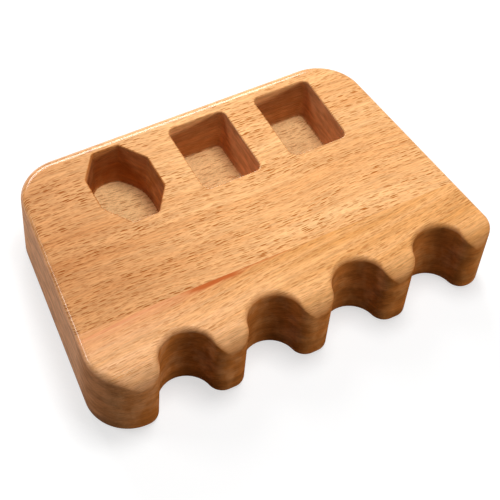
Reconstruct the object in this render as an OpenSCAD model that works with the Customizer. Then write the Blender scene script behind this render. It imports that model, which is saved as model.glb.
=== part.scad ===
// Four-place cue rest: a weighted beech block glued up from two staves.
// The cues lean in the scalloped front edge, and three pockets in the top hold chalk.
// Origin: centre of the footprint, on the surface that the feet stand on. +Y is the back.

/* [Block] */
// Width of the back edge, between the corners that the rounding cuts off
back_w = 139; // [120:0.2:180]
// Depth of the block, back to front
body_d = 103.4; // [94:0.2:130]
// Thickness of the wood
body_h = 31.4; // [28:0.2:45]
// Angle that each side flares outwards towards the front
flare = 6.4; // [0:0.1:12]
// Radius of the rear corners in plan
rear_corner_r = 19; // [8:0.5:24]
// Radius of the front corners in plan, where the outer fingers leave room for it
front_corner_r = 16; // [4:0.5:18]
// Rounding of the top edge at the sides
edge_r = 2.2; // [0.8:0.1:3.4]
// Rounding of the top edge at the back
rear_edge_r = 4.8; // [0.8:0.1:6]
// Rounding of the bottom edge all round
foot_edge_r = 1.2; // [0.4:0.1:2]
// Roll-over of the top onto the front of the fingers
roll_r = 8; // [4:0.5:16]
// Distance from the front of the block to the glue line between the staves
seam_from_front = 26.5; // [25.5:0.5:30]

/* [Cue notches] */
// Distance from the left side, at the front, to the centre of the first notch
left_finger_w = 34.5; // [28:0.1:38]
// Distance from the centre of the last notch to the right side, at the front
right_finger_w = 24.5; // [23:0.1:38]
// Radius of a notch
notch_r = 10.4; // [9:0.1:11.5]
// Depth of a notch behind the front edge
notch_depth = 12.9; // [10.5:0.1:14]
// Rounding of the finger tips in plan, where the notches leave room for it
tip_r = 6; // [2.5:0.1:7]
// Rounding of the top edge inside the notches
notch_edge_r = 2; // [0.8:0.1:2.4]
// Rounding of the top edge round the front of the fingers
tip_edge_r = 3.8; // [0.8:0.1:3.8]

/* [Chalk pockets] */
// Sideways place of the middle pocket
pattern_x = 3.8; // [-4:0.1:5]
// Distance between the centres of neighbouring pockets
pocket_pitch = 37.2; // [36:0.1:42]
// Distance from the back edge to the middle of the pockets
pocket_from_back = 23.6; // [20:0.1:26]
// Depth of the pockets
pocket_depth = 20; // [12:0.5:22]
// Width of a square-cornered pocket
pocket_w = 24; // [20:0.1:26]
// Length of a square-cornered pocket, back to front
pocket_l = 32; // [24:0.1:34]
// Corner radius of a square-cornered pocket
pocket_corner_r = 2.8; // [1:0.1:6]
// Width of the eight-sided pocket
octagon_w = 25.2; // [22:0.1:28]
// Length of the eight-sided pocket, back to front
octagon_l = 35.2; // [28:0.1:37]
// Corner radius of the eight-sided pocket
octagon_corner_r = 1.8; // [0.5:0.1:4]

/* [Ballast] */
// Width of a steel ballast bar
bar_w = 20; // [12:0.5:22]
// Thickness of a steel ballast bar
bar_t = 6; // [3:0.5:6.5]
// Distance from the glue line to the middle of the front bar
front_bar_from_seam = 16.5; // [12:0.5:18]
// Distance between the middles of the two bars
bar_spacing = 30; // [26:0.5:32]
// Distance between the ends of the bars and the rear feet
bar_to_foot = 2; // [1:0.5:10]
// Gap round a bar in its recess
bar_clearance = 0.4; // [0.1:0.1:1]
// Depth of a bar below the underside of the wood
bar_inset = 0.5; // [0:0.1:1]
// Corner radius of a bar in plan
bar_corner_r = 2; // [0.5:0.1:4]

/* [Screws] */
// Diameter of a ballast screw's shank
screw_d = 4; // [3:0.5:5]
// Length of a ballast screw
screw_l = 18; // [12:1:20]
// Diameter of a ballast screw's head
screw_head_d = 8; // [6:0.5:10]
// Width of the hexagonal key socket, across corners
socket_d = 2.9; // [2:0.1:3.5]
// Depth of the hexagonal key socket
socket_depth = 1.6; // [0.8:0.1:2]

/* [Feet] */
// Diameter of a rubber foot
foot_d = 12; // [8:0.5:13]
// Depth of the recess for a foot
foot_recess = 2; // [1:0.1:4]
// Height of a foot below the wood
foot_proud = 0.6; // [0.4:0.1:3]
// Gap round a foot in its recess
foot_clearance = 0.1; // [0.05:0.05:0.4]
// Rounding of a foot's lower rim
foot_rim_r = 0.5; // [0.2:0.1:1]
// Distance from the centre of a foot to the side of the block
foot_from_side = 9.5; // [8.5:0.5:14]
// Distance from the front of the block to the centres of the front feet
front_foot_from_front = 18.5; // [17:0.5:19]
// Distance from the back of the block to the centres of the rear feet
rear_foot_from_back = 14; // [12:0.5:18]

/* [Hidden] */

notch_count = 4;
arc_step = 9;       // largest turn between two points of an arc, in degrees
eps = 0.01;         // overshoot of a cut past the face it starts from

y_back = body_d / 2;
y_front = -body_d / 2;
y_seam = y_front + seam_from_front;
z_wood = foot_proud;
z_top = z_wood + body_h;

// Notches: each is a circle whose centre lies near the front edge
notch_y = y_front + notch_depth - notch_r;
notch_pitch = (2 * side_x(y_front) - left_finger_w - right_finger_w) / (notch_count - 1);
notch_xs = [for (i = [0:notch_count - 1]) left_finger_w - side_x(y_front) + i * notch_pitch];
notch_lead = y_front - notch_y;
// The tip radius that would just fill a finger between two notches
full_tip_r = (pow(notch_pitch / 2, 2) - pow(notch_r, 2) + pow(notch_lead, 2))
    / (2 * (notch_r - notch_lead));
finger_tip_r = min(tip_r, 0.98 * full_tip_r);
tip_dx = sqrt(pow(notch_r + finger_tip_r, 2) - pow(finger_tip_r + notch_lead, 2));
tip_angle = asin((finger_tip_r + notch_lead) / (notch_r + finger_tip_r));
// Roundings of the top edge at the fingers, no larger than their tips leave room for
notch_round = min(notch_edge_r, 0.95 * finger_tip_r);
tip_round = min(tip_edge_r, 0.95 * finger_tip_r);

// Sides: where a side line runs at a given y, and the corner arcs that touch it
function side_x(y) = back_w / 2 + (y_back - y) * tan(flare);
function rear_corner_x(r) = back_w / 2 - r * (1 - sin(flare)) / cos(flare);
function front_corner_x(r) = back_w / 2 + ((body_d - r) * sin(flare) - r) / cos(flare);
// Largest front corner that still meets the front edge outside the last finger tip
function front_corner_limit(tip_x) =
    (body_d * sin(flare) + (back_w / 2 - tip_x - 0.3) * cos(flare)) / (1 + sin(flare));
right_corner_r = min(front_corner_r, front_corner_limit(notch_xs[notch_count - 1] + tip_dx));
left_corner_r = min(front_corner_r, front_corner_limit(tip_dx - notch_xs[0]));

// An arc as [x, y, outward normal x, outward normal y, rounding of the top edge]; side is 1 on a
// corner and -1 in a notch, and the rounding turns from round_1 to round_2 along the arc
function arc(cx, cy, r, from, to, round_1, round_2, side = 1, skip = 0) =
    let (steps = max(2, ceil(abs(to - from) / arc_step)))
    [for (i = [skip:steps - skip])
        let (part = i / steps, a = from + (to - from) * part)
        [cx + r * cos(a), cy + r * sin(a), side * cos(a), side * sin(a),
         round_1 + (round_2 - round_1) * part]];

function notch_outline(x) = concat(
    arc(x + tip_dx, y_front + finger_tip_r, finger_tip_r, -90, tip_angle - 180,
        tip_round, notch_round),
    arc(x, notch_y, notch_r, tip_angle, 180 - tip_angle, notch_round, notch_round, -1, 1),
    arc(x - tip_dx, y_front + finger_tip_r, finger_tip_r, -tip_angle, -90,
        notch_round, tip_round));

// The whole outline, clockwise from the left side
outline = concat(
    arc(-rear_corner_x(rear_corner_r), y_back - rear_corner_r, rear_corner_r,
        180 - flare, 90, edge_r, rear_edge_r),
    arc(rear_corner_x(rear_corner_r), y_back - rear_corner_r, rear_corner_r,
        90, flare, rear_edge_r, edge_r),
    arc(front_corner_x(right_corner_r), y_front + right_corner_r, right_corner_r,
        flare, -90, edge_r, tip_round),
    [for (i = [notch_count - 1:-1:0]) each notch_outline(notch_xs[i])],
    arc(-front_corner_x(left_corner_r), y_front + left_corner_r, left_corner_r,
        -90, -180 - flare, tip_round, edge_r));

// Rings of points, from below the underside to above the top; the staves are cut from them at
// the real underside and top
spare = 1;          // what a blank stands proud of the faces it is cut to
function ring(z, inset) = [for (p = outline) [p[0] - p[2] * inset, p[1] - p[3] * inset, z]];
function top_ring(a, lift = 0) = [for (p = outline)
    let (inset = p[4] * (1 - cos(a)))
    [p[0] - p[2] * inset, p[1] - p[3] * inset, z_top - p[4] * (1 - sin(a)) + lift]];
rings = concat(
    [ring(z_wood - spare, foot_edge_r)],
    [for (a = [0:45:90]) ring(z_wood + foot_edge_r * (1 - cos(a)), foot_edge_r * (1 - sin(a)))],
    [for (a = [0:18:90]) top_ring(a)],
    [top_ring(90, spare)]);

// Corners of a polygon replaced by arcs of radius r; the polygon turns anticlockwise
function unit(v) = v / norm(v);
function rounded(points, r) = [for (i = [0:len(points) - 1])
    let (
        n = len(points),
        p = points[i],
        u = unit(points[(i + n - 1) % n] - p),
        v = unit(points[(i + 1) % n] - p),
        half = acos(u * v) / 2,
        centre = p + unit(u + v) * r / sin(half),
        first = atan2(u[0], -u[1]),
        turn = 180 - 2 * half,
        steps = ceil(turn / (2 * arc_step))
    )
    for (k = [0:steps])
        let (a = first + turn * k / steps)
        centre + r * [cos(a), sin(a)]];
function rectangle(w, l) = [[-w / 2, -l / 2], [w / 2, -l / 2], [w / 2, l / 2], [-w / 2, l / 2]];
// An octagon as long as l and as wide as w, with equal turns at its corners
function octagon(w, l) =
    let (x = w / 2, y = l / 2, k = sqrt(2) - 1)
    [[-x * k, -y], [x * k, -y], [x, -y * k], [x, y * k],
     [x * k, y], [-x * k, y], [-x, y * k], [-x, -y * k]];

// Feet
front_foot_y = y_front + front_foot_from_front;
rear_foot_y = y_back - rear_foot_from_back;
front_foot_x = side_x(front_foot_y) - foot_from_side;
rear_foot_x = side_x(rear_foot_y) - foot_from_side;

// Ballast: bars lie across the block, screwed where no pocket is above them
bar_z = z_wood + bar_inset;
bar_l = 2 * (rear_foot_x - foot_d / 2 - bar_to_foot - abs(pattern_x));
front_bar_y = y_seam + front_bar_from_seam;
rear_bar_y = front_bar_y + bar_spacing;
screw_xs = [pattern_x - pocket_pitch / 2, pattern_x + pocket_pitch / 2];
screw_head_h = (screw_head_d - screw_d) / 2;

pocket_y = y_back - pocket_from_back;

module blank() {
    n = len(outline);
    last = len(rings) - 1;
    walls = [for (k = [0:last - 1]) for (i = [0:n - 1])
        let (j = (i + 1) % n)
        each [[k * n + i, (k + 1) * n + j, (k + 1) * n + i],
              [k * n + i, k * n + j, (k + 1) * n + j]]];
    underside = [[for (i = [n - 1:-1:0]) i]];
    top = [[for (i = [0:n - 1]) last * n + i]];
    polyhedron(points = [for (r = rings) each r], faces = concat(underside, walls, top),
               convexity = 8);
}

// What the roll-over takes off the front top edge
module roll_cut() {
    span = 2 * (side_x(y_front) + spare);
    translate([-span / 2, y_front + roll_r, z_top - roll_r])
        rotate([90, 0, 90])
            linear_extrude(span)
                difference() {
                    translate([-roll_r - spare, 0]) square(roll_r + spare);
                    circle(roll_r, $fn = 96);
                }
}

// Half of the block: everything behind or in front of the glue line
module stave_blank(from_y, to_y) {
    span = 2 * (side_x(y_front) + spare);
    intersection() {
        blank();
        translate([-span / 2, from_y, z_wood]) cube([span, to_y - from_y, body_h]);
    }
}

module pocket(x, outline_points, corner_r) {
    translate([x, pocket_y, z_top - pocket_depth])
        linear_extrude(pocket_depth + eps) polygon(rounded(outline_points, corner_r));
}

module pockets() {
    pocket(pattern_x - pocket_pitch, octagon(octagon_w, octagon_l), octagon_corner_r);
    pocket(pattern_x, rectangle(pocket_w, pocket_l), pocket_corner_r);
    pocket(pattern_x + pocket_pitch, rectangle(pocket_w, pocket_l), pocket_corner_r);
}

module bar_recess(y) {
    w = bar_l + 2 * bar_clearance;
    l = bar_w + 2 * bar_clearance;
    translate([pattern_x, y, z_wood - eps])
        linear_extrude(bar_inset + bar_t + eps)
            polygon(rounded(rectangle(w, l), bar_corner_r + bar_clearance));
}

module foot_recess_cut(x, y) {
    translate([x, y, z_wood - eps])
        cylinder(d = foot_d + 2 * foot_clearance, h = foot_recess + eps, $fn = 48);
}

module screw_pilot(x, y) {
    translate([x, y, bar_z]) cylinder(d = screw_d, h = screw_l, $fn = 32);
}

module rear_stave() {
    color("#c98a5a") difference() {
        stave_blank(y_seam, y_back + spare);
        pockets();
        for (y = [rear_bar_y, front_bar_y]) {
            bar_recess(y);
            for (x = screw_xs) screw_pilot(x, y);
        }
        for (x = [-rear_foot_x, rear_foot_x]) foot_recess_cut(x, rear_foot_y);
    }
}

module front_stave() {
    color("#d09a6c") difference() {
        stave_blank(y_front - spare, y_seam);
        roll_cut();
        for (x = [-front_foot_x, front_foot_x]) foot_recess_cut(x, front_foot_y);
    }
}

// A flat steel bar with two countersunk holes
module ballast_bar(y) {
    color("#8e9297") difference() {
        translate([pattern_x, y, bar_z])
            linear_extrude(bar_t) polygon(rounded(rectangle(bar_l, bar_w), bar_corner_r));
        for (x = screw_xs) translate([x, y, 0]) screw_envelope();
    }
}

// The outside of a countersunk screw whose head is flush with the bar's lower face
module screw_envelope() {
    translate([0, 0, bar_z - eps]) cylinder(d = screw_head_d, h = eps, $fn = 48);
    translate([0, 0, bar_z])
        cylinder(d1 = screw_head_d, d2 = screw_d, h = screw_head_h, $fn = 48);
    translate([0, 0, bar_z]) cylinder(d = screw_d, h = screw_l, $fn = 32);
}

module ballast_screw() {
    difference() {
        union() {
            translate([0, 0, bar_z])
                cylinder(d1 = screw_head_d, d2 = screw_d, h = screw_head_h, $fn = 48);
            translate([0, 0, bar_z]) cylinder(d = screw_d, h = screw_l, $fn = 32);
        }
        translate([0, 0, bar_z - eps]) cylinder(d = socket_d, h = socket_depth + eps, $fn = 6);
    }
}

module ballast_screws() {
    color("#b9bcc0")
        for (y = [rear_bar_y, front_bar_y]) for (x = screw_xs)
            translate([x, y, 0]) ballast_screw();
}

module foot(x, y) {
    r = foot_d / 2;
    color("#2b2b2b") translate([x, y, 0]) rotate_extrude($fn = 48)
        union() {
            square([r - foot_rim_r, foot_proud + foot_recess]);
            translate([0, foot_rim_r]) square([r, foot_proud + foot_recess - foot_rim_r]);
            intersection() {
                translate([r - foot_rim_r, foot_rim_r]) circle(foot_rim_r, $fn = 32);
                square([r, foot_rim_r]);
            }
        }
}

module foot_rear_left() { foot(-rear_foot_x, rear_foot_y); }
module foot_rear_right() { foot(rear_foot_x, rear_foot_y); }
module foot_front_left() { foot(-front_foot_x, front_foot_y); }
module foot_front_right() { foot(front_foot_x, front_foot_y); }

rear_stave();
front_stave();
ballast_bar(rear_bar_y);  // rear_ballast_bar
ballast_bar(front_bar_y);  // front_ballast_bar
ballast_screws();
foot_rear_left();
foot_rear_right();
foot_front_left();
foot_front_right();
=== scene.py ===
"""Dresses a four-place cue rest: a lacquered beech block of two glued staves, with a scalloped
front edge, chalk pockets, steel ballast let into the underside and four rubber feet."""
import math

import bmesh
import bpy
import numpy as np
from bpy.props import FloatProperty, FloatVectorProperty, IntProperty, PointerProperty
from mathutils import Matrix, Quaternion, Vector
from mathutils.geometry import delaunay_2d_cdt


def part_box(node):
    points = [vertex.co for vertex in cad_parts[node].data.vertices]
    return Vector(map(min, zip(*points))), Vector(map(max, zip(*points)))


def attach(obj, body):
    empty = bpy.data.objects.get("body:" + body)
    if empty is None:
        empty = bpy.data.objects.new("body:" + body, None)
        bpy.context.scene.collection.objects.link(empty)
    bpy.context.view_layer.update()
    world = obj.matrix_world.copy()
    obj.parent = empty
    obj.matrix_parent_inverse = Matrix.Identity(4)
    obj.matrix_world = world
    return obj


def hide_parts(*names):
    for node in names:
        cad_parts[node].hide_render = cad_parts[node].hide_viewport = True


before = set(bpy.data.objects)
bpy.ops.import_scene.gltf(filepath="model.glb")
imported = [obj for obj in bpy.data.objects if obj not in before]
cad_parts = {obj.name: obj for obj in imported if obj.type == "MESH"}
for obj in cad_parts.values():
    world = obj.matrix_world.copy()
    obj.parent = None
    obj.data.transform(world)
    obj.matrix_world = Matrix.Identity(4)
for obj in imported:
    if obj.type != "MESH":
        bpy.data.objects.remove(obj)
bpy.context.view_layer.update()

bl_info = {
    "name": "Cue rest",
    "version": (1, 0, 0),
    "blender": (4, 5, 0),
    "location": "3D View > Sidebar > Cue rest",
    "description": "Builds the looks of a four-place cue rest around its packed solids",
    "category": "Add Mesh",
}

REAR_LOW, REAR_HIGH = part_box("rear_stave")
Y_BACK, Y_SEAM, Y_FRONT = REAR_HIGH[1], REAR_LOW[1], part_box("front_stave")[0][1]
Z_WOOD, Z_TOP = REAR_LOW[2], REAR_HIGH[2]
REAR_WALL = Y_BACK - 0.026   # behind this the back's pattern holds

SHADING_RING = 0.00025   # width of the flat ring that keeps a rounding's shading off flat faces
FILL_STEP = 0.0013       # spacing of the points that carry the curved part of the top
FILL_GAP = 0.4 * FILL_STEP   # least distance from those points to the outline
FILL_TOLERANCE = 1e-9    # how close the fill takes points to be one
SLIVER = 1e-9            # area below which a triangle has no clear side
WELD = 2e-6              # points closer than this are one
SHARP_ANGLE = math.radians(38)   # edges that turn more than this are shaded as sharp
TIP_FLAT = 0.0003        # least straight stretch between a front corner and the tip beside it

# Numbers of points: along a side, up a wall, over its lower and its top edge, and over the
# rim and down the wall of a recess
SIDE_POINTS, WALL_POINTS, LOW_EDGE_POINTS, TOP_EDGE_POINTS = 12, 7, 6, 11
RIM_POINTS, RECESS_WALL_POINTS = 5, 9

# How dark a surface is painted: 0 is planed wood and 1 a routed wall, darker partly for its
# end grain and partly as painted shade in the notches, at the finger fronts and in the pockets;
# a negative number paints a pocket floor paler, as painted light
SIDE_CUT, SHOULDER_CUT, CORNER_CUT, NOTCH_CUT = 0.0, 0.5, 0.95, 1.0
# The eight-sided pocket's walls are painted darker than the square pockets' walls, as painted
# shade
OCTAGON_CUT, SQUARE_CUT, FLOOR_PAINTED_LIGHT = 0.86, 0.50, -0.85
RECESS_CUT, RECESS_FLOOR_CUT = 0.5, 0.4
RIM_SHARE = 0.25         # share of a recess wall's cut at the start of its rim
CUT_FADE = 0.8           # power by which a wall's cut fades over a rounded edge
RECESS_EDGE = 0.0002     # rim and fillet of the recesses underneath
FLOOR_ROUNDNESS = 0.75   # how far the eight-sided pocket's floor nears an ellipse
FLOOR_BLEND = 1.5        # power of the depth by which its walls near it


# ---------------------------------------------------------------- sizes and looks


class CueRestBlock(bpy.types.PropertyGroup):
    """Sizes of the block itself"""

    back_w: FloatProperty(
        name="Back width", description="Width of the back edge between its corners",
        default=0.139, min=0.12, max=0.18, unit="LENGTH")
    flare: FloatProperty(
        name="Flare", description="Angle at which each side widens towards the front",
        default=math.radians(6.4), min=0, max=math.radians(12), unit="ROTATION")
    rear_corner_r: FloatProperty(
        name="Rear corner radius", description="Radius of the rear corners in plan",
        default=0.019, min=0.008, max=0.024, unit="LENGTH")
    front_corner_r: FloatProperty(
        name="Front corner radius", description="Radius of the front corners in plan",
        default=0.016, min=0.004, max=0.018, unit="LENGTH")
    edge_r: FloatProperty(
        name="Edge rounding", description="Rounding of the top edge at the sides",
        default=0.0022, min=0.0008, max=0.0034, unit="LENGTH")
    rear_edge_r: FloatProperty(
        name="Rear edge rounding", description="Rounding of the top edge at the back",
        default=0.0048, min=0.0008, max=0.006, unit="LENGTH")
    foot_edge_r: FloatProperty(
        name="Lower edge rounding", description="Rounding of the bottom edge all round",
        default=0.0012, min=0.0004, max=0.002, unit="LENGTH")
    roll_r: FloatProperty(
        name="Roll-over", description="Radius of the top's roll-over onto the fingers' fronts",
        default=0.008, min=0.004, max=0.016, unit="LENGTH")


class CueRestNotches(bpy.types.PropertyGroup):
    """Sizes of the cue notches and of the fingers between them"""

    count: IntProperty(name="Notches", description="How many cues the block holds", default=4,
                       min=1, max=6)
    left_finger_w: FloatProperty(
        name="Left finger", description="From the left side, at the front, to the first notch",
        default=0.0345, min=0.028, max=0.038, unit="LENGTH")
    right_finger_w: FloatProperty(
        name="Right finger", description="From the last notch to the right side, at the front",
        default=0.0245, min=0.023, max=0.038, unit="LENGTH")
    radius: FloatProperty(
        name="Radius", description="Radius of a notch", default=0.0104, min=0.009, max=0.0115,
        unit="LENGTH")
    depth: FloatProperty(
        name="Depth", description="Depth of a notch behind the front edge", default=0.0129,
        min=0.01, max=0.014, unit="LENGTH")
    tip_r: FloatProperty(
        name="Tip radius", description="Rounding of the finger tips in plan", default=0.006,
        min=0.0025, max=0.007, unit="LENGTH")
    edge_r: FloatProperty(
        name="Notch edge rounding", description="Rounding of the top edge inside the notches",
        default=0.002, min=0.0008, max=0.0024, unit="LENGTH")
    tip_edge_r: FloatProperty(
        name="Tip edge rounding", description="Rounding of the top edge round the tips",
        default=0.0038, min=0.0008, max=0.0038, unit="LENGTH")


class CueRestPockets(bpy.types.PropertyGroup):
    """Sizes of the chalk pockets"""

    middle_x: FloatProperty(
        name="Middle pocket", description="Sideways place of the middle pocket",
        default=0.0038, min=-0.004, max=0.005, unit="LENGTH")
    pitch: FloatProperty(
        name="Pitch", description="Distance between the centres of neighbouring pockets",
        default=0.0372, min=0.036, max=0.042, unit="LENGTH")
    from_back: FloatProperty(
        name="From the back", description="Distance from the back edge to the pockets' middle",
        default=0.0236, min=0.02, max=0.026, unit="LENGTH")
    depth: FloatProperty(
        name="Depth", description="Depth of the pockets", default=0.02, min=0.012, max=0.022,
        unit="LENGTH")
    width: FloatProperty(
        name="Width", description="Width of a square-cornered pocket", default=0.024,
        min=0.02, max=0.026, unit="LENGTH")
    length: FloatProperty(
        name="Length", description="Length of a square-cornered pocket, back to front",
        default=0.032, min=0.024, max=0.034, unit="LENGTH")
    corner_r: FloatProperty(
        name="Corner radius", description="Corner radius of a square-cornered pocket",
        default=0.0028, min=0.001, max=0.006, unit="LENGTH")
    octagon_w: FloatProperty(
        name="Octagon width", description="Width of the eight-sided pocket", default=0.0252,
        min=0.022, max=0.028, unit="LENGTH")
    octagon_l: FloatProperty(
        name="Octagon length", description="Length of the eight-sided pocket", default=0.0352,
        min=0.028, max=0.037, unit="LENGTH")
    octagon_corner_r: FloatProperty(
        name="Octagon corner radius", description="Corner radius of the eight-sided pocket",
        default=0.0018, min=0.0005, max=0.004, unit="LENGTH")
    rim_r: FloatProperty(
        name="Rim rounding", description="Rounding of a pocket's rim", default=0.0005,
        min=0.0001, max=0.001, unit="LENGTH")
    floor_r: FloatProperty(
        name="Floor fillet", description="Fillet between a pocket's wall and its floor",
        default=0.0007, min=0.0001, max=0.002, unit="LENGTH")


class CueRestUnderside(bpy.types.PropertyGroup):
    """Clearances of what is let into the underside"""

    bar_clearance: FloatProperty(
        name="Bar clearance", description="Gap round a ballast bar in its recess",
        default=0.0004, min=0.0001, max=0.001, unit="LENGTH")
    bar_corner_r: FloatProperty(
        name="Bar corner radius", description="Corner radius of a ballast bar in plan",
        default=0.002, min=0.0005, max=0.004, unit="LENGTH")
    foot_clearance: FloatProperty(
        name="Foot clearance", description="Gap round a foot in its recess", default=0.0001,
        min=0.00005, max=0.0004, unit="LENGTH")


class CueRestLook(bpy.types.PropertyGroup):
    """Colours of the finishes, as linear values"""

    pale: FloatVectorProperty(
        name="Pale wood", description="Beech between the growth bands", subtype="COLOR",
        default=(0.95, 0.54, 0.215), min=0, max=1)
    warm: FloatVectorProperty(
        name="Warm wood", description="Beech in the growth bands", subtype="COLOR",
        default=(0.80, 0.385, 0.13), min=0, max=1)
    fleck: FloatVectorProperty(
        name="Flecks", description="Ray flecks in the beech", subtype="COLOR",
        default=(0.43, 0.118, 0.010), min=0, max=1)
    side: FloatVectorProperty(
        name="End grain", description="End grain on the outer sides", subtype="COLOR",
        default=(0.76, 0.355, 0.165), min=0, max=1)
    # Routed walls: darker end grain with painted shade laid into the colour
    routed_and_shade: FloatVectorProperty(
        name="Routed wood", description="Walls that the router left", subtype="COLOR",
        default=(0.35, 0.110, 0.022), min=0, max=1)
    pink: FloatVectorProperty(
        name="Pink wood", description="Beech of the front stave", subtype="COLOR",
        default=(1.0, 0.56, 0.265), min=0, max=1)
    streak: FloatVectorProperty(
        name="Streak", description="Core of the mineral streak", subtype="COLOR",
        default=(0.46, 0.095, 0.016), min=0, max=1)
    stain: FloatVectorProperty(
        name="Stain", description="Pink stain beside the mineral streak", subtype="COLOR",
        default=(0.70, 0.25, 0.12), min=0, max=1)
    # Pocket floors: painted paler than the top wood, as painted light
    bottom: FloatVectorProperty(
        name="Pocket floors", description="Scraped wood on the floors of the pockets",
        subtype="COLOR", default=(1.0, 0.64, 0.30), min=0, max=1)
    steel: FloatVectorProperty(
        name="Steel", description="Drawn steel of the ballast bars", subtype="COLOR",
        default=(0.42, 0.43, 0.44), min=0, max=1)
    zinc: FloatVectorProperty(
        name="Zinc", description="Zinc plating of the screws", subtype="COLOR",
        default=(0.68, 0.69, 0.70), min=0, max=1)
    rubber: FloatVectorProperty(
        name="Rubber", description="Rubber of the feet", subtype="COLOR",
        default=(0.03, 0.03, 0.032), min=0, max=1)


class CueRestStage(bpy.types.PropertyGroup):
    """Camera and lights"""

    distance: FloatProperty(
        name="Camera distance", description="Distance from the camera to its aim",
        default=0.5405, min=0.2, max=2, unit="LENGTH")
    azimuth: FloatProperty(
        name="Camera azimuth", description="Turn of the camera round the block from its front",
        default=math.radians(-33.5), unit="ROTATION")
    elevation: FloatProperty(
        name="Camera elevation", description="Height of the camera above the floor, as an angle",
        default=math.radians(53.58), unit="ROTATION")
    roll: FloatProperty(
        name="Camera roll", description="Turn of the camera about its own axis",
        default=math.radians(6.0), unit="ROTATION")
    aim: FloatVectorProperty(
        name="Aim", description="Point that the camera looks at", subtype="TRANSLATION",
        unit="LENGTH", default=(-0.0002, -0.0095, 0.016))
    lens: FloatProperty(
        name="Lens", description="Focal length in millimetres on a 36 mm sensor",
        default=104.4, min=20, max=300, unit="CAMERA")
    key_power: FloatProperty(
        name="Key light", description="Power of the light above the block, in watts",
        default=2.45, min=0, max=50, unit="POWER")
    fill_power: FloatProperty(
        name="Fill light", description="Power of the light behind the block on the left, in watts",
        default=1.4, min=0, max=50, unit="POWER")
    glint_power: FloatProperty(
        name="Glint light", description="Power of the wide light behind the block, in watts",
        default=4.4, min=0, max=50, unit="POWER")
    front_power: FloatProperty(
        name="Front light", description="Power of the low light at the front right, in watts",
        default=2.8, min=0, max=50, unit="POWER")
    sky: FloatProperty(
        name="Sky", description="Strength of the even light from all round", default=0.13,
        min=0, max=2)


# ---------------------------------------------------------------- outline of the block


def arc(cx, cy, r, start, end, round_1, round_2, cut_1, cut_2, side=1, step=5.0, trim=0):
    """Points c + r (cos a, sin a) for a from start to end degrees, as rows
    [x, y, outward normal x, y, edge rounding, how dark the wall is painted as routed wood and
    painted shade]. The side is -1 on a hollow stretch, and trim leaves out that many points at
    either end."""
    count = max(3, int(math.ceil(abs(end - start) / step)))
    part = np.linspace(0, 1, count + 1)[trim:count + 1 - trim]
    a = np.radians(start + (end - start) * part)
    return np.column_stack([
        cx + r * np.cos(a), cy + r * np.sin(a), side * np.cos(a), side * np.sin(a),
        round_1 + (round_2 - round_1) * part, cut_1 + (cut_2 - cut_1) * part])


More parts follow.
